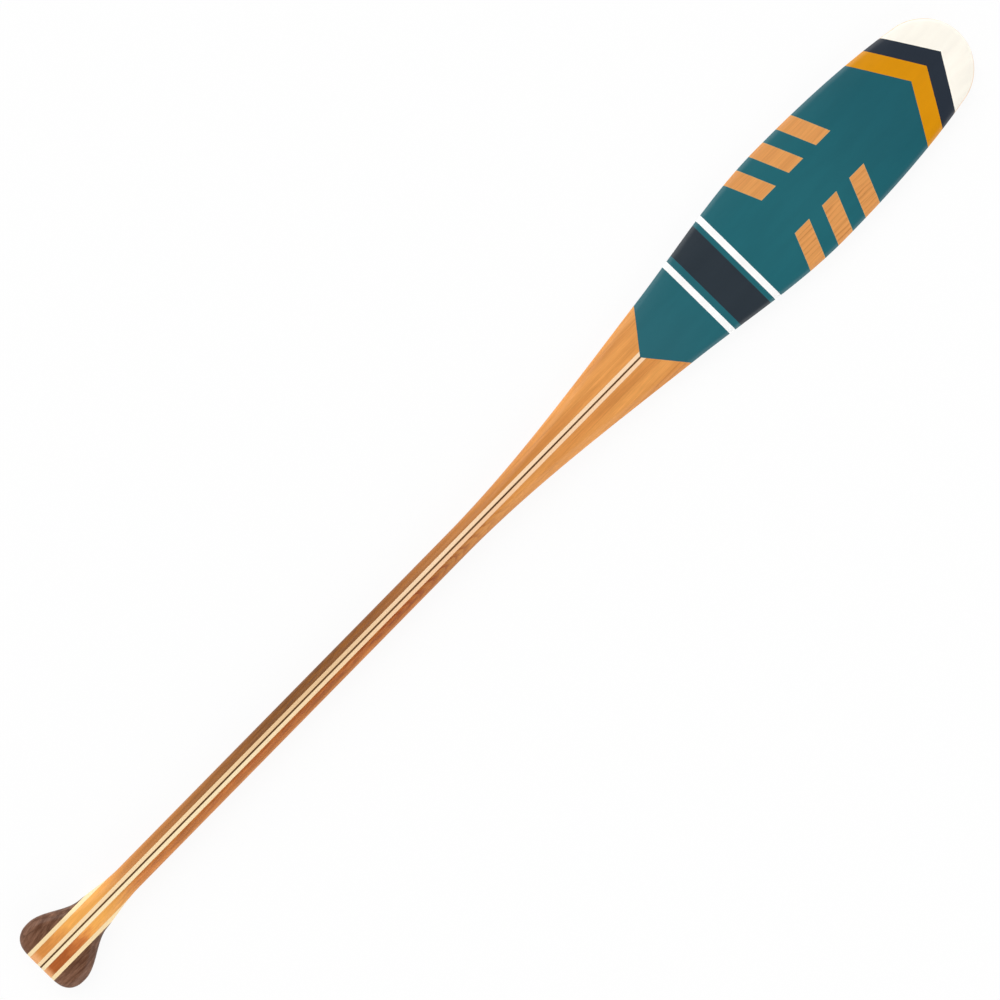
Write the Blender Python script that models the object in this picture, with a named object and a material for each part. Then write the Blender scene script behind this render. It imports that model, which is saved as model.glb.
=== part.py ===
"""Canoe paddle: a blank of glued wooden strips and planks, carved to one flowing form.

Each strip or plank starts as a straight board, and a Boolean keeps the part of it that lies inside the
carved form. The form is a loft of cross-sections along the paddle.

Metres. +X runs from the grip to the blade's tip, +Y is the left side, +Z is the face that looks up when the
paddle lies on its back. The origin is under the middle of the paddle, on the surface that it lies on.
"""
import math

import bmesh
import bpy

# Overall size
PADDLE_LENGTH = 1.448

# Shaft: a stick of this width and depth with its four edges rounded over, level between them
SHAFT_WIDTH = 0.031
SHAFT_DEPTH = 0.030
SHAFT_FLAT_WIDTH = 0.006
SHAFT_EDGE_ROUND = 0.0115

# Blade outline, with distances measured from the tip
BLADE_WIDTH = 0.140
BLADE_WIDEST_FROM_TIP = 0.2515
FLARE_START_FROM_TIP = 0.792
THROAT_FROM_TIP = 0.462
THROAT_WIDTH = 0.0914
THROAT_SLOPE = 0.124
TIP_WIDTH = 0.092
TIP_SLOPE = 0.234
TIP_CORNER = 0.047
TIP_FULLNESS = 2.16

# Blade depth, with distances measured from the tip
BLADE_DEPTH = 0.0095
BLADE_FLAT_WIDTH = 0.070
BLADE_EDGE_DEPTH = 0.0062
BLADE_EDGE_ROUND = 0.0055
TIP_DEPTH = 0.0070
TIP_THINNING_FROM_TIP = 0.110
THIN_FROM_TIP = 0.400
THICK_FROM_TIP = 0.720

# Grip outline, with distances measured from the grip's end
GRIP_WIDTH = 0.0892
GRIP_WIDEST_FROM_END = 0.025
GRIP_FLARE_FROM_END = 0.137
GRIP_NECK_FROM_END = 0.082
GRIP_NECK_WIDTH = 0.0436
GRIP_NECK_SLOPE = 0.10
GRIP_CORNER = 0.024
GRIP_FULLNESS = 2.4
GRIP_END_WIDTH = 0.040

# Grip depth, with distances measured from the grip's end
GRIP_DEPTH = 0.0190
GRIP_FLAT_WIDTH = 0.018
GRIP_EDGE_DEPTH = 0.0160
GRIP_EDGE_ROUND = 0.0095
GRIP_END_ROUND = 0.0085
GRIP_END_DEPTH = 0.0060
GRIP_SCOOP_FROM_END = 0.070

# Strips and planks, from the middle outwards
CENTRE_STRINGER_WIDTH = 0.0016
PALE_STRINGER_WIDTH = 0.0044
SHAFT_CARVING_ALLOWANCE = 0.0006
INNER_PLANK_WIDTH = 0.0149
MIDDLE_PLANK_WIDTH = 0.0245
ACCENT_STRIP_WIDTH = 0.0046
GLUE_GAP = 0.0003
STOCK_ALLOWANCE = 0.010

# Rings of the loft along each stretch, and steps around each section
TIP_RINGS = 9
BLADE_RINGS = 14
THROAT_RINGS = 16
SHAFT_RINGS = 3
FLANK_RINGS = 13
CORNER_RINGS = 8
EDGE_STEPS = 6
CROWN_STEPS = 3
LEAST_CROWN_SHARE = 0.05
SHARP_ANGLE = math.radians(40)

# Half the shaft's depth puts the underside of the shaft on the surface
MID_HEIGHT = SHAFT_DEPTH / 2
TIP_X = PADDLE_LENGTH / 2
GRIP_X = -PADDLE_LENGTH / 2

# Glue faces, as distances from the middle plane
PALE_FACE = CENTRE_STRINGER_WIDTH / 2
LATH_FACE = PALE_FACE + PALE_STRINGER_WIDTH
SHAFT_FACE = SHAFT_WIDTH / 2 + SHAFT_CARVING_ALLOWANCE
MIDDLE_PLANK_FACE = SHAFT_FACE + INNER_PLANK_WIDTH
OUTER_PLANK_FACE = MIDDLE_PLANK_FACE + MIDDLE_PLANK_WIDTH
BLADE_BLANK_FACE = BLADE_WIDTH / 2 + STOCK_ALLOWANCE
CHEEK_FACE = SHAFT_FACE + ACCENT_STRIP_WIDTH
GRIP_BLANK_FACE = GRIP_WIDTH / 2 + STOCK_ALLOWANCE


# Curves

def ease(value, start, end):
    """Smooth step from 0 at start to 1 at end."""
    share = min(max((value - start) / (end - start), 0.0), 1.0)
    return share * share * (3 - 2 * share)


def smooth_curve(distance, knots):
    """Cubic curve through knots of (distance, value, slope), level beyond the first and last."""
    if distance <= knots[0][0]:
        return knots[0][1]
    for (start, low, low_slope), (end, high, high_slope) in zip(knots, knots[1:]):
        if distance <= end:
            span = end - start
            share = (distance - start) / span
            step = share * share * (3 - 2 * share)
            leave = share * (1 - share) ** 2 * low_slope * span
            arrive = share * share * (share - 1) * high_slope * span
            return low + (high - low) * step + leave + arrive
    return knots[-1][1]


def rounded_end(distance, length, fullness=2.0):
    """Rises from 0 at an end to 1 at length from it, like a quarter of a superellipse."""
    share = min(max(1 - distance / length, 0.0), 1.0)
    return (1 - share ** fullness) ** (1 / fullness)


# The carved form

BLADE_SIDE = [
    (0.0, TIP_WIDTH / 2, TIP_SLOPE),
    (BLADE_WIDEST_FROM_TIP, BLADE_WIDTH / 2, 0.0),
    (THROAT_FROM_TIP, THROAT_WIDTH / 2, -THROAT_SLOPE),
    (FLARE_START_FROM_TIP, SHAFT_WIDTH / 2, 0.0),
]

GRIP_SIDE = [
    (GRIP_WIDEST_FROM_END, GRIP_WIDTH / 2, 0.0),
    (GRIP_NECK_FROM_END, GRIP_NECK_WIDTH / 2, -GRIP_NECK_SLOPE),
    (GRIP_FLARE_FROM_END, SHAFT_WIDTH / 2, 0.0),
]


def half_width(x):
    """Half the paddle's width at x, seen from above."""
    from_tip = TIP_X - x
    from_end = x - GRIP_X
    blade = smooth_curve(from_tip, BLADE_SIDE) * rounded_end(from_tip, TIP_CORNER, TIP_FULLNESS)
    end = GRIP_END_WIDTH / 2
    grip = smooth_curve(from_end, GRIP_SIDE) - end
    grip = end + grip * rounded_end(from_end, GRIP_CORNER, GRIP_FULLNESS)
    return blade + grip - SHAFT_WIDTH / 2


def along(x, grip, shaft, blade):
    """A section's size at x, eased from the grip's value to the shaft's and on to the blade's."""
    to_blade = ease(TIP_X - x, THICK_FROM_TIP, THIN_FROM_TIP)
    to_grip = ease(x - GRIP_X, GRIP_SCOOP_FROM_END, 0.0)
    return shaft + (blade - shaft) * to_blade + (grip - shaft) * to_grip


def half_depth(x):
    """Half the paddle's depth at x, seen from the side."""
    from_tip = TIP_X - x
    from_end = x - GRIP_X
    depth = along(x, GRIP_DEPTH, SHAFT_DEPTH, BLADE_DEPTH)
    depth -= (BLADE_DEPTH - TIP_DEPTH) * ease(from_tip, TIP_THINNING_FROM_TIP, 0.0)
    depth *= rounded_end(from_tip, BLADE_EDGE_ROUND)
    depth = GRIP_END_DEPTH + (depth - GRIP_END_DEPTH) * rounded_end(from_end, GRIP_END_ROUND)
    return depth / 2


def quarter_section(x):
    """Points (y, z) of a quarter of the section at x, from the flat's edge out to the side."""
    width = half_width(x)
    depth = half_depth(x)
    flat_share = along(
        x,
        GRIP_FLAT_WIDTH / GRIP_WIDTH,
        SHAFT_FLAT_WIDTH / SHAFT_WIDTH,
        BLADE_FLAT_WIDTH / BLADE_WIDTH,
    )
    edge_share = along(x, GRIP_EDGE_DEPTH / GRIP_DEPTH, 1.0, BLADE_EDGE_DEPTH / BLADE_DEPTH)
    edge_round = along(x, GRIP_EDGE_ROUND, SHAFT_EDGE_ROUND, BLADE_EDGE_ROUND)
    flat = flat_share * width
    crest = max(width - edge_round, flat + (width - flat) * LEAST_CROWN_SHARE)

    distances = [flat + (crest - flat) * step / CROWN_STEPS for step in range(CROWN_STEPS)]
    for step in range(EDGE_STEPS + 1):
        distances.append(crest + (width - crest) * math.sin(math.pi / 2 * step / EDGE_STEPS))

    points = []
    for y in distances:
        fall = (1 - edge_share) * ((y - flat) / (width - flat)) ** 2
        points.append((y, depth * (1 - fall) * rounded_end(width - y, width - crest)))
    return points


def section_ring(x):
    """The whole section at x as points in space, once round."""
    quarter = quarter_section(x)
    top = [(-y, z) for y, z in reversed(quarter)] + quarter
    bottom = [(y, -z) for y, z in reversed(top[1:-1])]
    return [(x, y, MID_HEIGHT + z) for y, z in top + bottom]


def ring_places():
    """Where the rings lie along X, from the grip's end to the last one before the tip."""
    from_end = []
    for step in range(CORNER_RINGS):
        from_end.append(GRIP_WIDEST_FROM_END * (1 - math.cos(math.pi / 2 * step / CORNER_RINGS)))
    flank = GRIP_FLARE_FROM_END - GRIP_WIDEST_FROM_END
    for step in range(FLANK_RINGS):
        from_end.append(GRIP_WIDEST_FROM_END + flank * step / FLANK_RINGS)
    shaft_end = PADDLE_LENGTH - FLARE_START_FROM_TIP
    for step in range(SHAFT_RINGS):
        from_end.append(GRIP_FLARE_FROM_END + (shaft_end - GRIP_FLARE_FROM_END) * step / SHAFT_RINGS)

    from_tip = []
    for step in range(THROAT_RINGS):
        share = 1 - step / THROAT_RINGS
        from_tip.append(THIN_FROM_TIP + (FLARE_START_FROM_TIP - THIN_FROM_TIP) * share)
    for step in range(BLADE_RINGS):
        share = 1 - step / BLADE_RINGS
        from_tip.append(TIP_CORNER + (THIN_FROM_TIP - TIP_CORNER) * share)
    for step in range(TIP_RINGS):
        from_tip.append(TIP_CORNER * (1 - math.sin(math.pi / 2 * step / TIP_RINGS)))
    return [GRIP_X + distance for distance in from_end] + [TIP_X - distance for distance in from_tip]


def add_paddle_form(collection):
    """Loft the carved form through its rings, flat at the grip's end and closed to a point at the tip."""
    form = bmesh.new()
    rings = [[form.verts.new(point) for point in section_ring(x)] for x in ring_places()]
    for ring, next_ring in zip(rings, rings[1:]):
        for here in range(len(ring)):
            after = (here + 1) % len(ring)
            form.faces.new((ring[here], ring[after], next_ring[after], next_ring[here]))
    form.faces.new(rings[0])
    tip = form.verts.new((TIP_X, 0.0, MID_HEIGHT))
    last = rings[-1]
    for here in range(len(last)):
        form.faces.new((last[here], last[(here + 1) % len(last)], tip))
    bmesh.ops.recalc_face_normals(form, faces=form.faces)

    mesh = bpy.data.meshes.new("paddle_form")
    form.to_mesh(mesh)
    form.free()
    mesh.shade_smooth()
    mesh.set_sharp_from_angle(angle=SHARP_ANGLE)
    carved = bpy.data.objects.new("paddle_form", mesh)
    carved.hide_render = True
    carved.display_type = "WIRE"
    collection.objects.link(carved)
    return carved


# Materials

def wood(name, colour, roughness):
    """A finished wood with this colour and roughness."""
    material = bpy.data.materials.new(name)
    material.use_nodes = True
    shader = material.node_tree.nodes["Principled BSDF"]
    shader.inputs["Base Color"].default_value = (*colour, 1.0)
    shader.inputs["Roughness"].default_value = roughness
    shader.inputs["Metallic"].default_value = 0.0
    material.diffuse_color = (*colour, 1.0)
    return material


# Boards

def add_board(name, faces, ends, form, material, frame, collection):
    """A strip or plank between two glue faces and two ends, carved to the form."""
    near, far = faces
    start, end = ends
    board = bmesh.new()
    bmesh.ops.create_cube(board, size=1.0)
    size = (end - start, far - near - GLUE_GAP, SHAFT_DEPTH + 2 * STOCK_ALLOWANCE)
    bmesh.ops.scale(board, vec=size, verts=board.verts)
    mesh = bpy.data.meshes.new(name)
    board.to_mesh(mesh)
    board.free()
    mesh.materials.append(material)

    carved = bpy.data.objects.new(name, mesh)
    carved.location = ((start + end) / 2, (near + far) / 2, MID_HEIGHT)
    carved.parent = frame
    collection.objects.link(carved)
    carving = carved.modifiers.new("carving", "BOOLEAN")
    carving.operation = "INTERSECT"
    carving.solver = "EXACT"
    carving.object = form


def build():
    """Clear the scene and build every piece of the paddle."""
    for old in list(bpy.data.objects):
        bpy.data.objects.remove(old, do_unlink=True)
    paddle = bpy.data.collections.new("canoe_paddle")
    cutters = bpy.data.collections.new("canoe_paddle_cutters")
    for collection in (paddle, cutters):
        bpy.context.scene.collection.children.link(collection)
    frame = bpy.data.objects.new("paddle_frame", None)
    paddle.objects.link(frame)

    dark_wood = wood("dark_stringer_wood", (0.075, 0.045, 0.025), 0.35)
    pale_wood = wood("pale_strip_wood", (0.93, 0.72, 0.42), 0.35)
    cedar = wood("cedar", (0.60, 0.29, 0.10), 0.35)
    walnut = wood("walnut", (0.11, 0.055, 0.04), 0.35)
    painted_cedar = wood("painted_cedar", (0.018, 0.122, 0.152), 0.30)

    whole = (GRIP_X - STOCK_ALLOWANCE, TIP_X + STOCK_ALLOWANCE)
    blade = (TIP_X - FLARE_START_FROM_TIP, TIP_X + STOCK_ALLOWANCE)
    grip = (GRIP_X - STOCK_ALLOWANCE, GRIP_X + GRIP_FLARE_FROM_END)
    pairs = (
        ("pale_stringer", PALE_FACE, LATH_FACE, whole, pale_wood),
        ("shaft_lath", LATH_FACE, SHAFT_FACE, whole, cedar),
        ("blade_inner_plank", SHAFT_FACE, MIDDLE_PLANK_FACE, blade, painted_cedar),
        ("blade_middle_plank", MIDDLE_PLANK_FACE, OUTER_PLANK_FACE, blade, painted_cedar),
        ("blade_outer_plank", OUTER_PLANK_FACE, BLADE_BLANK_FACE, blade, painted_cedar),
        ("grip_accent_strip", SHAFT_FACE, CHEEK_FACE, grip, pale_wood),
        ("grip_cheek", CHEEK_FACE, GRIP_BLANK_FACE, grip, walnut),
    )
    form = add_paddle_form(cutters)
    add_board("centre_stringer", (-PALE_FACE, PALE_FACE), whole, form, dark_wood, frame, paddle)
    for name, near, far, ends, material in pairs:
        add_board(name + "_left", (near, far), ends, form, material, frame, paddle)
        add_board(name + "_right", (-far, -near), ends, form, material, frame, paddle)


build()
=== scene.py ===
"""Looks of the canoe paddle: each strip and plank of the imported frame, carved finely and finished.

Metres. +X runs from the grip to the blade's tip, +Y is the left side, +Z is the face that looks up.
Distances inside materials are in millimetres, because wood grain and paint edges are of that size.
"""
import math
from collections import namedtuple

import bmesh
import bpy
import numpy as np
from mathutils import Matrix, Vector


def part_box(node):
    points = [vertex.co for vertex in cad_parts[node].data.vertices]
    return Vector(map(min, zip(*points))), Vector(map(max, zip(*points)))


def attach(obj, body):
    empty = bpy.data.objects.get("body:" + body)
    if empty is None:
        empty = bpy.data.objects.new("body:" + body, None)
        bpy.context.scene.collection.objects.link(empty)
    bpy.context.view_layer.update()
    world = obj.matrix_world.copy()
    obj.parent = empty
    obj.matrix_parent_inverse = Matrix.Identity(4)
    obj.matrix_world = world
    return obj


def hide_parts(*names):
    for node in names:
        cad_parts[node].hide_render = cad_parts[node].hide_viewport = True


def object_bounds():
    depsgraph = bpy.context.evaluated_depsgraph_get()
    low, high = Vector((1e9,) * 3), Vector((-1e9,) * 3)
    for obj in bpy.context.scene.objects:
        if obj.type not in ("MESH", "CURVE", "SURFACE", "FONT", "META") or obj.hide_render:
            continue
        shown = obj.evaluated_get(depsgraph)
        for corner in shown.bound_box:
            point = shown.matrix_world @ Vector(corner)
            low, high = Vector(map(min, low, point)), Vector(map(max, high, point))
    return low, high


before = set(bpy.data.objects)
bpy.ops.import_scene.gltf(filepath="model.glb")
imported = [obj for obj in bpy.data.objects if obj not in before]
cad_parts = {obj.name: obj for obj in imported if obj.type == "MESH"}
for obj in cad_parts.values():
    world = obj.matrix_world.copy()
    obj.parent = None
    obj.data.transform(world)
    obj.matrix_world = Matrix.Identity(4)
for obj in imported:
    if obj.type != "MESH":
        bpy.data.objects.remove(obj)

CAD_LOWEST, CAD_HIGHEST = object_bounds()

# Overall places, from the frame
GRIP_X = CAD_LOWEST.x
TIP_X = CAD_HIGHEST.x
MID_HEIGHT = (CAD_LOWEST.z + CAD_HIGHEST.z) / 2
PADDLE_LENGTH = TIP_X - GRIP_X

# Shaft
SHAFT_WIDTH = 0.031
SHAFT_DEPTH = 0.030
SHAFT_FLAT_WIDTH = 0.006
SHAFT_EDGE_ROUND = 0.0115

# Blade outline, with distances measured from the tip
BLADE_WIDTH = 0.140
BLADE_WIDEST_FROM_TIP = 0.2515
FLARE_START_FROM_TIP = 0.792
THROAT_FROM_TIP = 0.462
THROAT_WIDTH = 0.0914
THROAT_SLOPE = 0.124
TIP_WIDTH = 0.092
TIP_SLOPE = 0.234
TIP_CORNER = 0.047
TIP_FULLNESS = 2.16

# Blade depth, with distances measured from the tip
BLADE_DEPTH = 0.0095
BLADE_FLAT_WIDTH = 0.070
BLADE_EDGE_DEPTH = 0.0062
BLADE_EDGE_ROUND = 0.0055
TIP_DEPTH = 0.0070
TIP_THINNING_FROM_TIP = 0.110
THIN_FROM_TIP = 0.400
THICK_FROM_TIP = 0.720

# Grip outline, with distances measured from the grip's end
GRIP_WIDTH = 0.0892
GRIP_WIDEST_FROM_END = 0.025
GRIP_FLARE_FROM_END = 0.137
GRIP_NECK_FROM_END = 0.082
GRIP_NECK_WIDTH = 0.0436
GRIP_NECK_SLOPE = 0.10
GRIP_CORNER = 0.024
GRIP_FULLNESS = 2.4
GRIP_END_WIDTH = 0.040

# Grip depth, with distances measured from the grip's end
GRIP_DEPTH = 0.0190
GRIP_FLAT_WIDTH = 0.018
GRIP_EDGE_DEPTH = 0.0160
GRIP_EDGE_ROUND = 0.0095
GRIP_END_ROUND = 0.0085
GRIP_END_DEPTH = 0.0060
GRIP_SCOOP_FROM_END = 0.070

LEAST_CROWN_SHARE = 0.05
GLUE_GAP = 0.0003
GLUE_FACE_DIGITS = 5

# Fineness of the carved meshes
ROW_STEP = 0.004
SHAFT_ROW_STEP = 0.012
TAPER_ROWS = 12
TAPER_LENGTH = 0.012
CORNER_ROWS = 28
TIP_ROWS = 44
COLUMN_WIDTH = 0.0011
LEAST_COLUMNS = 3
END_SEARCH = 0.010
SEARCH_STEPS = 40
LEAST_ROW_STEP = 0.0002
WELD_DISTANCE = 0.000002
LEAST_EDGE = WELD_DISTANCE / 4
SHARP_ANGLE = math.radians(38)
TINY = 1e-9


# Curves of the carved form

def ease(value, start, end):
    """Smooth step from 0 at start to 1 at end."""
    share = np.clip((value - start) / (end - start), 0.0, 1.0)
    return share * share * (3 - 2 * share)


def smooth_curve(distance, knots):
    """Cubic curve through knots of (distance, value, slope), level beyond the first and last."""
    distance = np.clip(distance, knots[0][0], knots[-1][0])
    value = np.full_like(distance, knots[0][1])
    for (start, low, low_slope), (end, high, high_slope) in zip(knots, knots[1:]):
        span = end - start
        share = (distance - start) / span
        step = share * share * (3 - 2 * share)
        leave = share * (1 - share) ** 2 * low_slope * span
        arrive = share * share * (share - 1) * high_slope * span
        value = np.where(distance >= start, low + (high - low) * step + leave + arrive, value)
    return value


def rounded_end(distance, length, fullness=2.0):
    """Rises from 0 at an end to 1 at length from it, like a quarter of a superellipse."""
    share = np.clip(1 - distance / length, 0.0, 1.0)
    return (1 - share ** fullness) ** (1 / fullness)


BLADE_SIDE = [
    (0.0, TIP_WIDTH / 2, TIP_SLOPE),
    (BLADE_WIDEST_FROM_TIP, BLADE_WIDTH / 2, 0.0),
    (THROAT_FROM_TIP, THROAT_WIDTH / 2, -THROAT_SLOPE),
    (FLARE_START_FROM_TIP, SHAFT_WIDTH / 2, 0.0),
]

GRIP_SIDE = [
    (GRIP_WIDEST_FROM_END, GRIP_WIDTH / 2, 0.0),
    (GRIP_NECK_FROM_END, GRIP_NECK_WIDTH / 2, -GRIP_NECK_SLOPE),
    (GRIP_FLARE_FROM_END, SHAFT_WIDTH / 2, 0.0),
]


def half_width(x):
    """Half the paddle's width at each x, seen from above."""
    from_tip = TIP_X - x
    from_end = x - GRIP_X
    blade = smooth_curve(from_tip, BLADE_SIDE) * rounded_end(from_tip, TIP_CORNER, TIP_FULLNESS)
    end = GRIP_END_WIDTH / 2
    grip = smooth_curve(from_end, GRIP_SIDE) - end
    grip = end + grip * rounded_end(from_end, GRIP_CORNER, GRIP_FULLNESS)
    return np.maximum(blade + grip - SHAFT_WIDTH / 2, 0.0)


def along(x, grip, shaft, blade):
    """A section's size at each x, eased from the grip's value to the shaft's and on to the blade's."""
    to_blade = ease(TIP_X - x, THICK_FROM_TIP, THIN_FROM_TIP)
    to_grip = ease(x - GRIP_X, GRIP_SCOOP_FROM_END, 0.0)
    return shaft + (blade - shaft) * to_blade + (grip - shaft) * to_grip


def half_depth(x):
    """Half the paddle's depth at each x, seen from the side."""
    from_tip = TIP_X - x
    from_end = x - GRIP_X
    depth = along(x, GRIP_DEPTH, SHAFT_DEPTH, BLADE_DEPTH)
    depth = depth - (BLADE_DEPTH - TIP_DEPTH) * ease(from_tip, TIP_THINNING_FROM_TIP, 0.0)
    depth = GRIP_END_DEPTH + (depth - GRIP_END_DEPTH) * rounded_end(from_end, GRIP_END_ROUND)
    return depth * rounded_end(from_tip, BLADE_EDGE_ROUND) / 2


def flat_and_crest(x):
    """Half widths at each x of the level middle and of what lies inside the rounded edges."""
    width = half_width(x)
    flat_share = along(
        x,
        GRIP_FLAT_WIDTH / GRIP_WIDTH,
        SHAFT_FLAT_WIDTH / SHAFT_WIDTH,
        BLADE_FLAT_WIDTH / BLADE_WIDTH,
    )
    edge_round = along(x, GRIP_EDGE_ROUND, SHAFT_EDGE_ROUND, BLADE_EDGE_ROUND)
    flat = flat_share * width
    crest = np.maximum(width - edge_round, flat + (width - flat) * LEAST_CROWN_SHARE)
    return flat, crest


def height(x, y):
    """Height of the upper face above the middle plane at each (x, y) inside the outline."""
    width = half_width(x)
    flat, crest = flat_and_crest(x)
    edge_share = along(x, GRIP_EDGE_DEPTH / GRIP_DEPTH, 1.0, BLADE_EDGE_DEPTH / BLADE_DEPTH)
    aside = np.abs(y)
    crown = np.maximum(aside - flat, 0.0) / np.maximum(width - flat, TINY)
    fall = (1 - edge_share) * crown ** 2
    rounding = rounded_end(np.maximum(width - aside, 0.0), np.maximum(width - crest, TINY))
    return half_depth(x) * (1 - fall) * rounding


# Carved meshes

def glue_faces(node):
    """Where a CAD node's two glue faces lie in Y, without its share of the glue gap."""
    lowest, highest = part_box(node)
    near = round(lowest.y - GLUE_GAP / 2, GLUE_FACE_DIGITS)
    far = round(highest.y + GLUE_GAP / 2, GLUE_FACE_DIGITS)
    return near, far


def end_of_reach(inside, outside, nearest):
    """Where between two x the outline comes in to a glue face, or outside if it doesn't."""
    if half_width(np.array(outside)) > nearest:
        return outside
    for _ in range(SEARCH_STEPS):
        middle = (inside + outside) / 2
        if half_width(np.array(middle)) > nearest:
            inside = middle
        else:
            outside = middle
    return (inside + outside) / 2


def all_rows():
    """Where the rows of every carved mesh lie along X, close together at the rounded ends."""
    turn = np.linspace(0, math.pi / 2, CORNER_ROWS, endpoint=False)
    grip_corner = GRIP_WIDEST_FROM_END * (1 - np.cos(turn))
    grip_flank = np.arange(GRIP_WIDEST_FROM_END, GRIP_FLARE_FROM_END, ROW_STEP)
    shaft_end = PADDLE_LENGTH - FLARE_START_FROM_TIP
    shaft = np.arange(GRIP_FLARE_FROM_END, shaft_end, SHAFT_ROW_STEP)
    blade = np.arange(FLARE_START_FROM_TIP, TIP_CORNER, -ROW_STEP)
    turn = np.linspace(0, math.pi / 2, TIP_ROWS + 1)
    tip_corner = TIP_CORNER * (1 - np.sin(turn))
    from_end = np.concatenate([grip_corner, grip_flank, shaft])
    from_tip = np.concatenate([blade, tip_corner])
    return np.concatenate([GRIP_X + from_end, TIP_X - from_tip])


def rows_of(node, nearest):
    """The rows of one piece, from where the outline lets it start to where it ends."""
    lowest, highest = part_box(node)
    middle = (lowest.x + highest.x) / 2
    start = end_of_reach(middle, max(lowest.x - END_SEARCH, GRIP_X), nearest)
    end = end_of_reach(middle, min(highest.x + END_SEARCH, TIP_X), nearest)
    rows = all_rows()
    inner = rows[(rows > start + LEAST_ROW_STEP) & (rows < end - LEAST_ROW_STEP)]
    taper = TAPER_LENGTH * (np.arange(1, TAPER_ROWS) / TAPER_ROWS) ** 2
    if start > GRIP_X:
        inner = np.concatenate([start + taper, inner[inner > start + TAPER_LENGTH]])
    if end < TIP_X:
        inner = np.concatenate([inner[inner < end - TAPER_LENGTH], end - taper[::-1]])
    return np.concatenate([[start], inner, [end]])


def columns_of(x, near, far):
    """Y places across a piece at each x, at even steps over the crown and round the edge."""
    width = half_width(x)
    crest = flat_and_crest(x)[1]
    radius = np.maximum(width - crest, TINY)

    def to_arc(y):
        beyond = np.clip((np.abs(y) - crest) / radius, 0.0, 1.0)
        return np.sign(y) * (np.minimum(np.abs(y), crest) + radius * np.arcsin(beyond))

    low = to_arc(np.clip(near, -width, width))
    high = to_arc(np.clip(far, -width, width))
    steps = max(LEAST_COLUMNS, math.ceil((high - low).max() / COLUMN_WIDTH))
    share = np.linspace(0.0, 1.0, steps + 1)
    arc = low[:, None] + (high - low)[:, None] * share
    turn = np.clip((np.abs(arc) - crest[:, None]) / radius[:, None], 0.0, math.pi / 2)
    aside = np.minimum(np.abs(arc), crest[:, None]) + radius[:, None] * np.sin(turn)
    return np.sign(arc) * aside


def skin_faces(rows, columns):
    """Faces of a skin over closed rings, and of the strips that fill its first and last ring."""
    around = 2 * columns
    faces = []
    for row in range(rows - 1):
        start = row * around
        for here in range(around):
            after = (here + 1) % around
            faces.append((start + here, start + after, start + around + after, start + around + here))
    for start in (0, (rows - 1) * around):
        for here in range(columns - 1):
            across = around - 1 - here
            faces.append((start + here, start + here + 1, start + across - 1, start + across))
    return faces


def carve(node):
    """The fine closed mesh of one strip or plank: the stretch of the form between its glue faces."""
    near, far = glue_faces(node)
    nearest = 0.0 if near < 0 < far else min(abs(near), abs(far))
    x = rows_of(node, nearest)
    y = columns_of(x, near, far)
    rows, columns = y.shape
    x = np.repeat(x[:, None], columns, axis=1)
    z = height(x, y)
    top = np.stack([x, y, MID_HEIGHT + z], axis=2)
    bottom = np.stack([x, y, MID_HEIGHT - z], axis=2)
    rings = np.concatenate([top, bottom[:, ::-1]], axis=1)

    mesh = bpy.data.meshes.new("carved_" + node)
    mesh.from_pydata(rings.reshape(-1, 3).tolist(), [], skin_faces(rows, columns))
    form = bmesh.new()
    form.from_mesh(mesh)
    bmesh.ops.remove_doubles(form, verts=form.verts, dist=WELD_DISTANCE)
    bmesh.ops.dissolve_degenerate(form, edges=form.edges, dist=LEAST_EDGE)
    bmesh.ops.recalc_face_normals(form, faces=form.faces)
    form.to_mesh(mesh)
    form.free()
    mesh.shade_smooth()
    mesh.set_sharp_from_angle(angle=SHARP_ANGLE)
    return mesh


# Colours

def colour(red, green, blue):
    """A linear colour from one written as it looks on a screen, 0 to 255, by the sRGB curve."""
    def linear(level):
        share = level / 255
        return share / 12.92 if share <= 0.04045 else ((share + 0.055) / 1.055) ** 2.4
    return (linear(red), linear(green), linear(blue), 1.0)


WHITE = (1.0, 1.0, 1.0, 1.0)

TEAL = colour(32, 100, 110)
TEAL_LIT_NEAR_THROAT = colour(40, 100, 110)
TEAL_SHADED_NEAR_TIP = colour(28, 92, 103)
NAVY = colour(39, 47, 58)
NAVY_FADED = colour(43, 52, 60)
MUSTARD = colour(217, 144, 2)
CREAM = colour(255, 250, 238)
STRIPE_WHITE = colour(253, 253, 252)
TIP_RIM_SHADE_TAN = colour(243, 217, 192)
FRINGE = colour(196, 172, 120)

CEDAR_GOLD = colour(233, 161, 87)
CEDAR_RUST = colour(214, 141, 73)
CEDAR_NECK = colour(250, 180, 92)
CEDAR_BLADE = colour(222, 155, 92)
CEDAR_HEART_AND_SHADE = colour(160, 94, 37)
CEDAR_HEART_AND_SHADE_DARK = colour(130, 72, 23)
CEDAR_LATEWOOD = colour(156, 84, 36)
CEDAR_ARCH = colour(138, 56, 22)
CEDAR_RUDDY = colour(158, 72, 26)
CEDAR_RUDDY_LIGHT = colour(210, 119, 49)
CEDAR_SHADE_BROWN = colour(62, 37, 2)
CEDAR_SHADE_BROWN_LIGHT = colour(124, 79, 16)
CEDAR_FLUSH = colour(226, 140, 74)
CEDAR_STAIN_AND_SHADE = colour(172, 91, 42)
CEDAR_END_HIGHLIGHT = colour(244, 178, 120)

PALE_WOOD = colour(255, 235, 193)
PALE_WOOD_TAN = colour(254, 226, 181)
PALE_WOOD_ROSE = colour(255, 223, 187)
PALE_WOOD_ROSIER = colour(249, 205, 165)
PALE_WOOD_FADED = colour(252, 214, 175)
PALE_WOOD_SHADED = colour(234, 198, 153)
PALE_WOOD_ACCENT = colour(253, 228, 179)
PALE_STREAK = colour(238, 196, 144)

DARK_WOOD = colour(100, 68, 36)
DARK_STREAK = colour(72, 47, 21)

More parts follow.
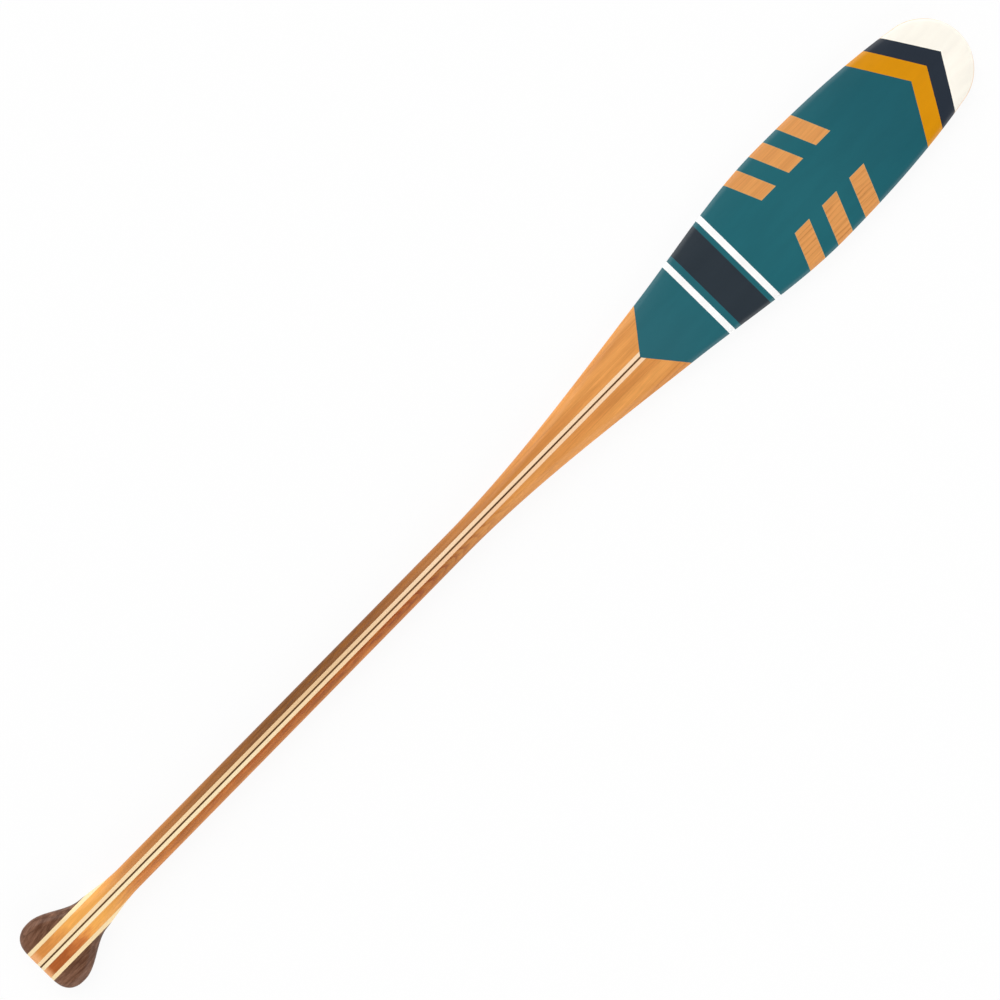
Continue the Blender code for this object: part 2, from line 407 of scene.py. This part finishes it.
WALNUT = colour(98, 63, 44)
WALNUT_WAIST_SHADE = colour(78, 50, 34)
WALNUT_LIGHT = colour(146, 106, 84)
WALNUT_STREAK = colour(62, 38, 26)

GLUE = colour(150, 98, 56)


# Node wiring

MILLIMETRES = 1000.0
GENERATED_PLACE, OBJECT_PLACE = 0, 3
VECTOR_LENGTH = 1
MIX_FACTOR, MIX_A, MIX_B, MIX_RESULT = 0, 6, 7, 2

# Noise with so many lumps a millimetre along, across and up, stretched from low..high to 0..1 or
# to the last two numbers
Pattern = namedtuple(
    "Pattern", "lumps detail roughness low high to_low to_high", defaults=(0.0, 1.0)
)


class Graph:
    """Adds shader nodes to a node tree and wires them. A value is a socket, a number or a tuple."""

    def __init__(self, tree):
        self.tree = tree

    def give(self, socket, value):
        """Wire or set one input, or leave it as it is for None."""
        if isinstance(value, bpy.types.NodeSocket):
            self.tree.links.new(value, socket)
        elif value is not None:
            socket.default_value = value

    def add(self, kind, *values, output=0, **settings):
        """A node with these settings, its inputs filled in their order; returns one output."""
        node = self.tree.nodes.new("ShaderNode" + kind)
        for name, setting in settings.items():
            setattr(node, name, setting)
        for socket, value in zip(node.inputs, values):
            self.give(socket, value)
        return node.outputs[output]

    def maths(self, operation, *values):
        return self.add("Math", *values, operation=operation)

    def scaled(self, vector, factors):
        """A vector or a colour, times a number or part by part times another vector."""
        return self.add("VectorMath", vector, factors, operation="MULTIPLY")

    def moved(self, vector, offset):
        return self.add("VectorMath", vector, offset, operation="ADD")

    def parts(self, vector):
        """A vector's three parts."""
        node = self.tree.nodes.new("ShaderNodeSeparateXYZ")
        self.give(node.inputs[0], vector)
        return node.outputs[:]

    def noise(self, vector, detail=2.0, roughness=0.5):
        """Soft noise around 0.5, with one lump per unit of the vector."""
        return self.add("TexNoise", vector, None, 1.0, detail, roughness)

    def stretch(self, value, low, high, to_low=0.0, to_high=1.0):
        """Maps low..high to to_low..to_high smoothly, clamped at both ends."""
        return self.add(
            "MapRange", value, low, high, to_low, to_high, interpolation_type="SMOOTHSTEP"
        )

    def ranged(self, share, low, high):
        """Maps 0..1 to low..high in a straight line."""
        return self.add("MapRange", share, 0.0, 1.0, low, high)

    def hump(self, value, start, full, fading, gone, height=1.0):
        """Rises smoothly from 0 at start to this height at full, and falls from fading to gone."""
        rise = self.stretch(value, start, full)
        fall = self.stretch(value, gone, fading, 0.0, height)
        return self.maths("MULTIPLY", rise, fall)

    def pattern(self, vector, pattern):
        """A named pattern's value at this place."""
        lumps, detail, roughness, *limits = pattern
        noise = self.noise(self.scaled(vector, lumps), detail, roughness)
        return self.stretch(noise, *limits)

    def mix(self, factor, first, second):
        """The first colour at factor 0 and the second at factor 1."""
        node = self.tree.nodes.new("ShaderNodeMix")
        node.data_type = "RGBA"
        self.give(node.inputs[MIX_FACTOR], factor)
        self.give(node.inputs[MIX_A], first)
        self.give(node.inputs[MIX_B], second)
        return node.outputs[MIX_RESULT]

    def within(self, value, low, high):
        """1 where the value lies between two bounds."""
        return self.maths("COMPARE", value, (low + high) / 2, (high - low) / 2)


Place = namedtuple("Place", "point x y z from_end aside")


def place_in_millimetres(graph):
    """The surface point in the paddle's own frame, and how far it is from the grip's end and aside."""
    point = graph.scaled(graph.add("TexCoord", output=OBJECT_PLACE), (MILLIMETRES,) * 3)
    x, y, z = graph.parts(point)
    from_end = graph.maths("SUBTRACT", x, GRIP_X * MILLIMETRES)
    aside = graph.maths("ABSOLUTE", y)
    return Place(point, x, y, z, from_end, aside)


# Paint scheme, in millimetres from the blade's tip and aside from its middle line. A slope is how
# far an edge moves away from the tip for each millimetre aside.
PAINT_END = 503.6
PAINT_END_SLOPE = -0.802
STRIPES = ((407.4, 415.0), (345.0, 352.8))
NAVY_BAND = (358.9, 399.6)
CREAM_START = 29.7
CREAM_SLOPE = 0.62
CHEVRONS = ((76.2, 0.60, MUSTARD), (52.1, 0.60, NAVY), (CREAM_START, CREAM_SLOPE, CREAM))
TICK_STARTS = (178.1, 220.9, 263.8)
TICK_WIDTH = 22.0
TICK_INNER = 26.0
TICK_SLOPE = 0.413
TICK_FRINGE = 0.3

# Between these places the throat's teal, painted lighter, turns into plain teal, and plain teal into the
# tip's, painted darker: painted light and shade
THROAT_TEAL_LIGHT = (500.0, 330.0)
TIP_TEAL_SHADE = (260.0, 110.0)

# Towards the middle plane the paint is a little paler, a painted sheen on the rounded edges, and along
# the cream tip's rim it turns tan, a painted shade
EDGE_SHEEN = (3.9, 1.4, 0.0, 0.045)
TIP_RIM_SHADE = (1.9, 1.14)
TIP_RIM_SHADE_FROM_TIP = (34.0, 26.0)

PAINT_WAVER = Pattern((0.12, 0.12, 0.12), 2.0, 0.5, 0.2, 0.8, -0.04, 0.04)
PAINT_MOTTLE = Pattern((0.014, 0.06, 0.06), 5.0, 0.6, 0.25, 0.75, 0.96, 1.04)


def slanted(graph, from_tip, aside, slope):
    """Distance from the tip, less the slope for each millimetre aside: the same along an edge."""
    return graph.maths("MULTIPLY_ADD", aside, -slope, from_tip)


def tick_mask(graph, from_tip, aside, margin):
    """1 on the slanted ticks left bare, grown by a margin on all sides."""
    place = slanted(graph, from_tip, aside, TICK_SLOPE)
    ticks = 0.0
    for start in TICK_STARTS:
        low = start - TICK_SLOPE * TICK_INNER
        tick = graph.within(place, low - margin, low + TICK_WIDTH + margin)
        ticks = graph.maths("MAXIMUM", ticks, tick)
    outside = graph.maths("GREATER_THAN", aside, TICK_INNER - margin)
    return graph.maths("MULTIPLY", ticks, outside)


def paint_colours(graph, from_tip, aside):
    """Teal, painted lighter near the throat and darker near the tip, with its navy band, white stripes
    and the chevrons of the tip.
    """
    # Painted light and shade: the teal is lighter near the throat and darker near the tip
    tone = graph.mix(graph.stretch(from_tip, *THROAT_TEAL_LIGHT), TEAL_LIT_NEAR_THROAT, TEAL)
    tone = graph.mix(graph.stretch(from_tip, *TIP_TEAL_SHADE), tone, TEAL_SHADED_NEAR_TIP)
    tone = graph.mix(graph.within(from_tip, *NAVY_BAND), tone, NAVY_FADED)
    for stripe in STRIPES:
        tone = graph.mix(graph.within(from_tip, *stripe), tone, STRIPE_WHITE)
    for start, slope, shade in CHEVRONS:
        place = slanted(graph, from_tip, aside, slope)
        tone = graph.mix(graph.maths("LESS_THAN", place, start), tone, shade)
    return tone


def paint_scheme(graph, place):
    """The blade's paint: its colour, and 1 where there is paint."""
    aside = place.aside
    from_tip = graph.maths("SUBTRACT", TIP_X * MILLIMETRES, place.x)
    from_tip = graph.maths("ADD", from_tip, graph.pattern(place.point, PAINT_WAVER))
    tone = paint_colours(graph, from_tip, aside)
    tone = graph.scaled(tone, graph.pattern(place.point, PAINT_MOTTLE))

    to_middle = graph.maths("ABSOLUTE", graph.maths("SUBTRACT", place.z, MID_HEIGHT * MILLIMETRES))
    # Painted sheen: the paint is paler round the edges, towards the middle plane
    tone = graph.mix(graph.stretch(to_middle, *EDGE_SHEEN), tone, STRIPE_WHITE)
    # Painted shade: the cream turns tan along the tip's rounded rim
    rim_shade = graph.stretch(to_middle, *TIP_RIM_SHADE)
    at_tip = graph.stretch(slanted(graph, from_tip, aside, CREAM_SLOPE), *TIP_RIM_SHADE_FROM_TIP)
    tone = graph.mix(graph.maths("MULTIPLY", rim_shade, at_tip), tone, TIP_RIM_SHADE_TAN)
    tone = graph.mix(tick_mask(graph, from_tip, aside, TICK_FRINGE), tone, FRINGE)

    end = slanted(graph, from_tip, aside, PAINT_END_SLOPE)
    painted = graph.maths("LESS_THAN", end, PAINT_END)
    bare = tick_mask(graph, from_tip, aside, 0.0)
    return tone, graph.maths("SUBTRACT", painted, bare)


# Grain of every wood

WANDER_LUMPS = (0.009, 0.02, 0.02)
RIPPLE_LUMPS = (0.06, 0.25, 0.25)
LATE_WOOD_POWER = 4.0
LATE_WOOD_END = (0.90, 1.0, 1.0, 0.0)
RING_STRENGTH = Pattern((0.02, 0.12, 0.12), 1.0, 0.5, 0.35, 0.65, 0.25, 1.0)
BANDS = Pattern((0.0035, 0.09, 0.09), 2.5, 0.45, 0.28, 0.72)
FIBRES = Pattern((0.035, 1.8, 1.8), 3.0, 0.6, 0.28, 0.72)

Grain = namedtuple("Grain", "own age rings bands fibres")


def grain_of(graph, place, board):
    """The point in the board's own frame, its age within a growth ring, and late wood, bands, fibres."""
    own = graph.moved(place.point, board["offset"])
    wander = graph.noise(graph.scaled(own, WANDER_LUMPS))
    wander = graph.maths("MULTIPLY", wander, board["wander"])
    ripple = graph.noise(graph.scaled(own, RIPPLE_LUMPS))
    wander = graph.maths("MULTIPLY_ADD", ripple, board["ripple"], wander)

    slope_across, slope_up = board["slope"]
    pith_y, pith_z = board["pith"]
    across = graph.maths("MULTIPLY_ADD", place.x, -slope_across, place.y)
    up = graph.maths("MULTIPLY_ADD", place.x, -slope_up, place.z)
    from_pith = graph.moved(graph.add("CombineXYZ", across, up, 0.0), (-pith_y, -pith_z, 0.0))
    radius = graph.add("VectorMath", from_pith, operation="LENGTH", output=VECTOR_LENGTH)
    radius = graph.maths("ADD", radius, wander)

    age = graph.maths("FRACT", graph.maths("DIVIDE", radius, board["ring"]))
    late = graph.maths("POWER", age, LATE_WOOD_POWER)
    late = graph.maths("MULTIPLY", late, graph.stretch(age, *LATE_WOOD_END))
    rings = graph.maths("MULTIPLY", late, graph.pattern(own, RING_STRENGTH))
    return Grain(own, age, rings, graph.pattern(own, BANDS), graph.pattern(own, FIBRES))


def along_grain(graph, place, board, lean):
    """The surface point in a board's own frame, with its grain leaning across by this much."""
    leaned = graph.maths("MULTIPLY_ADD", place.x, -lean, place.y)
    return graph.moved(graph.add("CombineXYZ", place.x, leaned, place.z), board["offset"])


def ringed(graph, tone, grain, board, shade):
    """The tone with the late wood of its rings in a darker shade."""
    return graph.mix(graph.maths("MULTIPLY", grain.rings, board["contrast"]), tone, shade)


# Cedar. Reaches are distances from the grip's end: from where a tone starts to where it is full,
# then its strength at both.
CEDAR_FIBRES = (0.94, 1.05)
BLADE_REACH = (900.0, 1150.0, 0.0, 0.6)
HEART_AND_SHADE_RISES = ((70.0, 200.0, 0.0, 0.5), (120.0, 440.0, 0.0, 0.5))
NECK_REACH = (150.0, 85.0, 0.0, 0.85)
STREAKS = Pattern((0.018, 0.42, 0.42), 3.0, 0.5, 0.30, 0.70, -0.5, 0.5)

# The cast of the laths along the shaft
CAST_LEAN = 0.07
CAST_FIGURE = Pattern((0.050, 0.40, 0.40), 4.0, 0.62, 0.32, 0.68)
CAST_LIVELINESS = 0.16
OUTER_GOLD_AND_LIGHT_ASIDE = (9.0, 14.5)

# The stain and painted shade near the grip's end, at shares of its reach
BLOTCHES = Pattern((0.05, 0.22, 0.1), 3.0, 0.5, 0.25, 0.75)
BLOTCH_SHARE = 0.35
FLUSH_SHARES = (1.70, 1.15)
STAIN_AND_SHADE_SHARES = (1.55, 0.75)
END_HIGHLIGHT_STRENGTH = 0.9

# The arches of a flat-sawn lath: ages in a ring that they darken, and distances aside
ARCH_AGES = (0.30, 0.80, 0.86, 1.0)
ARCHES_ASIDE = (15.0, 5.0, 0.35, 1.0)


def with_cast(graph, tone, here, place, board):
    """The tone under the lath's darker cast, as strong as here, painted shade on the left lath, but
    golden on its outer side, partly the wood's hue and partly painted light.
    """
    low, high, amount = board["cast"]
    figure = graph.pattern(along_grain(graph, place, board, CAST_LEAN), CAST_FIGURE)
    figure = graph.mix(figure, low, high)
    tone = graph.mix(graph.maths("MULTIPLY", here, amount), tone, figure)
    # Golden on the outer side: partly the wood's hue, partly painted light
    sapwood = graph.stretch(place.aside, *OUTER_GOLD_AND_LIGHT_ASIDE, 0.0, board["sapwood"])
    return graph.mix(graph.maths("MULTIPLY", here, sapwood), tone, CEDAR_GOLD)


def with_stain_and_shade(graph, tone, place, grain, board):
    """The tone darker and redder in blotches near the grip's end, partly stain and partly painted shade,
    with a painted highlight on the rounded end beyond it.
    """
    reach, strength, end_highlight_start, end_highlight_full = board["stain"]
    blotches = graph.pattern(grain.own, BLOTCHES)
    soaked = graph.maths("MULTIPLY_ADD", blotches, BLOTCH_SHARE * reach, place.from_end)
    # Painted shade in part: darker and redder towards the grip's end
    for (start, full), shade in ((FLUSH_SHARES, CEDAR_FLUSH), (STAIN_AND_SHADE_SHARES, CEDAR_STAIN_AND_SHADE)):
        amount = graph.stretch(soaked, start * reach, full * reach, 0.0, strength)
        tone = graph.mix(amount, tone, shade)
    # Painted highlight: lighter where the grip's rounded end catches the light
    end_highlight = graph.stretch(place.from_end, end_highlight_start, end_highlight_full, 0.0, END_HIGHLIGHT_STRENGTH)
    return graph.mix(end_highlight, tone, CEDAR_END_HIGHLIGHT)


def with_arches(graph, tone, place, grain, board):
    """The tone with the nested arches of flat-sawn rings, strongest beside the pale strip."""
    reach = graph.hump(place.from_end, *board["arches"])
    arch = graph.maths("MULTIPLY", graph.hump(grain.age, *ARCH_AGES), reach)
    near_strip = graph.stretch(place.aside, *ARCHES_ASIDE)
    return graph.mix(graph.maths("MULTIPLY", arch, near_strip), tone, CEDAR_ARCH)


def cedar_tone(graph, place, grain, board):
    """Western cedar: golden at both ends and redder and darker along the shaft, partly heartwood and
    partly painted shade, with thin late wood.
    """
    tone = graph.mix(grain.bands, CEDAR_RUST, CEDAR_GOLD)
    tone = graph.mix(graph.stretch(place.from_end, *BLADE_REACH), tone, CEDAR_BLADE)
    # The darker heart along the shaft is partly heartwood and partly painted shade
    rise = graph.maths("ADD", *(graph.stretch(place.from_end, *part) for part in HEART_AND_SHADE_RISES))
    heart_and_shade = graph.maths("MULTIPLY", rise, graph.stretch(place.from_end, *board["heart_fade"]))
    tone = graph.mix(heart_and_shade, tone, graph.mix(grain.bands, CEDAR_HEART_AND_SHADE_DARK, CEDAR_HEART_AND_SHADE))
    liveliness = board["liveliness"]
    if board["cast"]:
        here = graph.hump(place.from_end, *board["cast_reach"])
        tone = with_cast(graph, tone, here, place, board)
        liveliness = graph.maths("MULTIPLY_ADD", here, CAST_LIVELINESS, liveliness)
    tone = graph.mix(graph.stretch(place.from_end, *NECK_REACH), tone, CEDAR_NECK)
    tone = with_stain_and_shade(graph, tone, place, grain, board)
    tone = ringed(graph, tone, grain, board, CEDAR_LATEWOOD)
    if board["arches"]:
        tone = with_arches(graph, tone, place, grain, board)
    streaks = graph.pattern(grain.own, STREAKS)
    return graph.scaled(tone, graph.maths("MULTIPLY_ADD", streaks, liveliness, 1.0))


# Basswood

PALE_FIBRES = (0.97, 1.02)
PALE_BAND_STRENGTH = 0.18
SOAKED_ASIDE = (1.25, 0.85, 0.0, 0.85)


def pale_tone(graph, place, grain, board):
    """Basswood: almost white, with faint long streaks, and dark where it meets the dark stringer."""
    tone = board["pale"][0][1]
    for (start, _), (end, shade) in zip(board["pale"], board["pale"][1:]):
        tone = graph.mix(graph.stretch(place.from_end, start, end), tone, shade)
    tone = graph.mix(graph.maths("MULTIPLY", grain.bands, PALE_BAND_STRENGTH), tone, PALE_STREAK)
    tone = ringed(graph, tone, grain, board, PALE_STREAK)
    return graph.mix(graph.stretch(place.aside, *SOAKED_ASIDE), tone, DARK_WOOD)


# Dark stringer

DARK_FIBRES = (0.85, 1.12)


def dark_tone(graph, place, grain, board):
    """The thin dark stringer: streaked lengthwise, alike at every place."""
    return graph.mix(grain.bands, DARK_STREAK, DARK_WOOD)


# Walnut. Reaches are distances from the grip's end, as for the cedar.

WALNUT_FIBRES = (0.92, 1.07)
WAIST_SHADE_REACH = (44.0, 76.0)
END_SHEEN_REACH = (34.0, 6.0, 0.0, 0.30)
CLOUDS = Pattern((0.04, 0.26, 0.26), 4.0, 0.62, 0.36, 0.70, 0.0, 0.75)
PORES = Pattern((0.12, 2.0, 2.0), 2.0, 0.5, 0.52, 0.70, 0.0, 0.4)


def walnut_tone(graph, place, grain, board):
    """Walnut: brown with darker bands, lighter clouds and short dark pores, with painted shade at the
    waist and a painted sheen near the end.
    """
    own = along_grain(graph, place, board, board["slope"][0])
    # Painted shade at the waist and a painted sheen near the grip's end
    tone = graph.mix(graph.stretch(place.from_end, *WAIST_SHADE_REACH), WALNUT, WALNUT_WAIST_SHADE)
    tone = graph.mix(graph.stretch(place.from_end, *END_SHEEN_REACH), tone, WALNUT_LIGHT)
    tone = graph.mix(graph.pattern(own, CLOUDS), tone, WALNUT_LIGHT)
    tone = ringed(graph, tone, grain, board, WALNUT_STREAK)
    return graph.mix(graph.pattern(own, PORES), tone, WALNUT_STREAK)


# Finish. The relief is in multiples of the bump's distance, which is in metres.

GLUE_LINE_REACH = 0.11
GLUE_LINE_STRENGTH = 0.38
WOOD_ROUGHNESS = (0.34, 0.42)
PAINT_ROUGHNESS = 0.34
PAINT_FILLING = 0.85
PAINT_RELIEF = 1.5
DIMPLE_LUMPS = (0.35, 0.35, 0.35)
DIMPLE_DETAIL = 1.0
DIMPLE_RELIEF = 0.5
BUMP_STRENGTH = 0.25
BUMP_DISTANCE = 0.00004
COAT_WEIGHT = 0.42
COAT_ROUGHNESS = 0.32


def finished_wood(name, kind, board):
    """A varnished wood, under the paint scheme where its kind of board reaches into the blade."""
    material = bpy.data.materials.new(name)
    material.use_nodes = True
    tree = material.node_tree
    graph = Graph(tree)
    place = place_in_millimetres(graph)
    grain = grain_of(graph, place, board)
    tone = kind.tone_of(graph, place, grain, board)
    tone = graph.scaled(tone, graph.ranged(grain.fibres, *kind.fibre_shades))
    for face in board["faces"]:
        glue = graph.maths("COMPARE", place.y, face * MILLIMETRES, GLUE_LINE_REACH)
        tone = graph.mix(graph.maths("MULTIPLY", glue, GLUE_LINE_STRENGTH), tone, GLUE)

    relief = grain.fibres
    roughness = graph.ranged(grain.fibres, *WOOD_ROUGHNESS)
    if kind.is_painted:
        paint, painted = paint_scheme(graph, place)
        tone = graph.mix(painted, tone, paint)
        wood_left = graph.maths("SUBTRACT", 1.0, graph.maths("MULTIPLY", painted, PAINT_FILLING))
        raised = graph.maths("MULTIPLY", painted, PAINT_RELIEF)
        relief = graph.maths("MULTIPLY_ADD", relief, wood_left, raised)
        roughness = graph.ranged(painted, roughness, PAINT_ROUGHNESS)
    dimples = graph.noise(graph.scaled(place.point, DIMPLE_LUMPS), DIMPLE_DETAIL)
    relief = graph.maths("MULTIPLY_ADD", dimples, DIMPLE_RELIEF, relief)

    bump = tree.nodes.new("ShaderNodeBump")
    bump.inputs["Strength"].default_value = BUMP_STRENGTH
    bump.inputs["Distance"].default_value = BUMP_DISTANCE
    tree.links.new(relief, bump.inputs["Height"])
    shader = tree.nodes["Principled BSDF"]
    tree.links.new(tone, shader.inputs["Base Color"])
    tree.links.new(roughness, shader.inputs["Roughness"])
    tree.links.new(bump.outputs["Normal"], shader.inputs["Normal"])
    # All gloss comes from the varnish, which is the coat
    shader.inputs["Specular IOR Level"].default_value = 0.0
    shader.inputs["Coat Weight"].default_value = COAT_WEIGHT
    shader.inputs["Coat Roughness"].default_value = COAT_ROUGHNESS
    return material


# Pieces

# A kind of piece: its wood, how dark and light its fibres make it, the record's material slot,
# whether the paint reaches it, the width of a growth ring in millimetres and how dark its late
# wood is
Kind = namedtuple("Kind", "tone_of fibre_shades slot is_painted ring contrast")

KINDS = {
    "centre_stringer": Kind(dark_tone, DARK_FIBRES, "dark_stringer", True, 1.4, 0.30),
    "pale_stringer": Kind(pale_tone, PALE_FIBRES, "pale_strip", True, 1.6, 0.25),
    "shaft_lath": Kind(cedar_tone, CEDAR_FIBRES, "cedar", True, 1.3, 0.14),
    "blade_inner_plank": Kind(cedar_tone, CEDAR_FIBRES, "painted_cedar", True, 1.9, 0.14),
    "blade_middle_plank": Kind(cedar_tone, CEDAR_FIBRES, "painted_cedar", True, 4.4, 0.76),
    "blade_outer_plank": Kind(cedar_tone, CEDAR_FIBRES, "painted_cedar", True, 4.8, 0.76),
    "grip_accent_strip": Kind(pale_tone, PALE_FIBRES, "pale_strip", False, 1.5, 0.45),
    "grip_cheek": Kind(walnut_tone, WALNUT_FIBRES, "walnut", False, 4.2, 0.70),
}

# Each board lies elsewhere in the noise, and has its own pith, in millimetres. The late wood of the
# left planks is fainter by the last number.
OFFSET_STEP = (371.0, 53.0, 29.0)
PITH_ASIDE = 95.0
PITH_ASIDE_STEP = 7.0
PITH_HEIGHT = -18.0
GRAIN_SLOPE = 0.004
LEFT_PLANKS_FAINTER = 3

# How a board is sawn and coloured, with distances along it in millimetres from the grip's end:
# wander, ripple: how far its rings stray in long and in short waves
# liveliness: how strongly it is streaked
# heart_fade: where the redder, darker heart is gone, and up to where it is full; it is partly heartwood
# and partly painted shade
# cast: the darker tones along the shaft and their strength; on the left lath they are painted shade
# cast_reach: where they start, are full, fade and are gone
# sapwood: how golden the outer side stays under the cast, partly the wood's hue and partly painted light
# stain: the reach and strength of the darker end, partly stain and partly painted shade, then where the
# painted highlight on the rounded end starts and is full
# arches: where they start, are full, fade and are gone, and their strength
# pale: tones of a pale strip and where each is reached; on the left strip the tan near the grip and the
# browner tone along the shaft are painted shade, on the right strip the lighter tone near the grip is
# painted light
PLAIN_BOARD = {
    "wander": 9.0,
    "ripple": 1.4,
    "liveliness": 0.105,
    "heart_fade": (850.0, 500.0),
    "cast": None,
    "cast_reach": None,
    "sapwood": 0.0,
    "stain": (38.0, 0.36, 13.0, 4.5),
    "arches": None,
    # Painted shade: the left pale strip is tanner near the grip and browner along the shaft
    "pale": ((180.0, PALE_WOOD_TAN), (430.0, PALE_WOOD_SHADED), (650.0, PALE_WOOD_ROSE)),
}

# What differs from it in the nodes whose names start like this. The right lath is flat-sawn: its
# pith crosses the shaft at a slant, so that the rings run out at the surface in arches.
OWN_BOARDS = {
    "pale_stringer_right": {
        # Painted light: the right pale strip is lighter near the grip
        "pale": ((250.0, PALE_WOOD), (680.0, PALE_WOOD_ROSIER), (860.0, PALE_WOOD_FADED)),
    },
    "grip_accent_strip": {
        "pale": ((0.0, PALE_WOOD_ACCENT),),
    },
    "grip_cheek_left": {
        "slope": (0.20, 0.0),
    },
    "blade_middle_plank_right": {
        "ripple": 3.0,
    },
    "blade_outer_plank_right": {
        "ripple": 3.0,
    },
    # Painted shade: the left lath's darker brown cast along the shaft
    "shaft_lath_left": {
        "liveliness": 0.125,
        "cast": (CEDAR_SHADE_BROWN, CEDAR_SHADE_BROWN_LIGHT, 0.62),
        "cast_reach": (150.0, 420.0, 440.0, 660.0),
    },
    "shaft_lath_right": {
        "pith": (1.6, 12.6),
        "slope": (-0.044, 0.062),
        "wander": 2.0,
        "liveliness": 0.155,
        "heart_fade": (775.0, 530.0),
        "cast": (CEDAR_RUDDY, CEDAR_RUDDY_LIGHT, 0.58),
        "cast_reach": (80.0, 165.0, 560.0, 640.0),
        "sapwood": 0.30,
        "stain": (52.0, 0.95, 10.5, 1.5),
        "arches": (470.0, 600.0, 600.0, 780.0, 0.72),
    },
}


def board_of(node, kind, index):
    """How one piece was sawn: where its rings centre, how wide they are and how they show."""
    side = 1 if node.endswith("_left") else -1
    board = dict(PLAIN_BOARD)
    board["offset"] = tuple(index * step for step in OFFSET_STEP)
    board["pith"] = (side * (PITH_ASIDE + PITH_ASIDE_STEP * index), PITH_HEIGHT)
    board["slope"] = (side * GRAIN_SLOPE, 0.0)
    board["ring"] = kind.ring
    board["contrast"] = kind.contrast
    board["faces"] = glue_faces(node)
    if "plank_left" in node:
        board["contrast"] = kind.contrast / LEFT_PLANKS_FAINTER
    for start, changes in OWN_BOARDS.items():
        if node.startswith(start):
            board.update(changes)
    return board


def kind_of(node):
    """A node's name without its side."""
    return node.replace("_left", "").replace("_right", "")


def make_pieces():
    """Carve and finish the piece that stands for each CAD node."""
    for index, node in enumerate(sorted(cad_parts)):
        kind = KINDS[kind_of(node)]
        finish = finished_wood(node + "_finish", kind, board_of(node, kind, index))
        piece = bpy.data.objects.new("carved_" + node, carve(node))
        bpy.context.scene.collection.objects.link(piece)
        piece.data.materials.append(finish)
        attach(piece, "root")
        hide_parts(node)


# Stage

VIEW_CENTRE = (0.0, 0.0, MID_HEIGHT)
PADDLE_TURN = math.radians(45.5)
VIEW_WIDTH = 1.105
LENS = 130.0
SENSOR = 36.0
FLOOR_HALF_SIZE = 60.0
FLOOR_DROP = 0.0001
FLOOR_COLOUR = (0.95, 0.95, 0.95, 1.0)
FLOOR_GLOW_SHARE = 0.92
KEY_STRENGTH = 1.62
KEY_AZIMUTH = math.radians(72)
KEY_ELEVATION = math.radians(44)
FILL_STRENGTH = 0.85
FILL_AZIMUTH = math.radians(-100)
FILL_ELEVATION = math.radians(22)
LAMP_SPREAD = math.radians(60)
SKY_AT_HORIZON = 1.0
SKY_OVERHEAD = 0.12
SKY_DIMMING = (0.35, 1.0)


def add_camera():
    """Straight above the paddle, turned so that it points to the upper right as in the photograph."""
    camera = bpy.data.objects.new("camera", bpy.data.cameras.new("camera"))
    bpy.context.scene.collection.objects.link(camera)
    camera.data.lens = LENS
    camera.data.sensor_width = SENSOR
    distance = VIEW_WIDTH * LENS / SENSOR
    camera.location = (VIEW_CENTRE[0], VIEW_CENTRE[1], VIEW_CENTRE[2] + distance)
    camera.rotation_euler = (0.0, 0.0, -PADDLE_TURN)
    bpy.context.scene.camera = camera


def seen_directly(graph):
    """1 for rays from the camera, also in a reflection or through glass."""
    rays = graph.tree.nodes.new("ShaderNodeLightPath")
    seen = graph.maths("MAXIMUM", rays.outputs["Is Camera Ray"], rays.outputs["Is Glossy Ray"])
    return graph.maths("MAXIMUM", seen, rays.outputs["Is Transmission Ray"])


def white_floor():
    """A white that glows for direct rays, mixed with a little matt white that takes the shadow."""
    material = bpy.data.materials.new("white_floor")
    material.use_nodes = True
    tree = material.node_tree
    graph = Graph(tree)
    tree.nodes.remove(tree.nodes["Principled BSDF"])
    matt = graph.add("BsdfDiffuse", FLOOR_COLOUR)
    glow = graph.add("Emission", WHITE, 1.0)
    share = graph.maths("MULTIPLY", seen_directly(graph), FLOOR_GLOW_SHARE)
    surface = graph.add("MixShader", share, matt, glow)
    tree.links.new(surface, tree.nodes["Material Output"].inputs["Surface"])
    return material


def add_floor():
    """A wide white floor that looks white and still takes a soft shadow."""
    form = bmesh.new()
    bmesh.ops.create_grid(form, x_segments=1, y_segments=1, size=FLOOR_HALF_SIZE)
    mesh = bpy.data.meshes.new("floor")
    form.to_mesh(mesh)
    form.free()
    mesh.materials.append(white_floor())
    floor = bpy.data.objects.new("floor", mesh)
    floor.location.z = CAD_LOWEST.z - FLOOR_DROP
    bpy.context.scene.collection.objects.link(floor)


def add_lamp(name, strength, azimuth, elevation):
    """A wide soft lamp, far away, that shines from this side of the paddle."""
    lamp = bpy.data.objects.new(name, bpy.data.lights.new(name, "SUN"))
    bpy.context.scene.collection.objects.link(lamp)
    lamp.data.energy = strength
    lamp.data.angle = LAMP_SPREAD
    lamp.rotation_euler = (0.0, math.pi / 2 - elevation, azimuth)


def add_room():
    """A pale room that is dim overhead, so that the level faces don't mirror it."""
    world = bpy.data.worlds.new("pale_room")
    world.use_nodes = True
    tree = world.node_tree
    graph = Graph(tree)
    upward = graph.parts(graph.add("TexCoord", output=GENERATED_PLACE))[2]
    level = graph.stretch(upward, *SKY_DIMMING, SKY_AT_HORIZON, SKY_OVERHEAD)
    tree.links.new(level, tree.nodes["Background"].inputs["Strength"])
    tree.nodes["Background"].inputs["Color"].default_value = WHITE
    bpy.context.scene.world = world


add_camera()
add_floor()
add_lamp("key", KEY_STRENGTH, KEY_AZIMUTH, KEY_ELEVATION)
add_lamp("fill", FILL_STRENGTH, FILL_AZIMUTH, FILL_ELEVATION)
add_room()
make_pieces()
bpy.context.scene.view_settings.view_transform = "Standard"
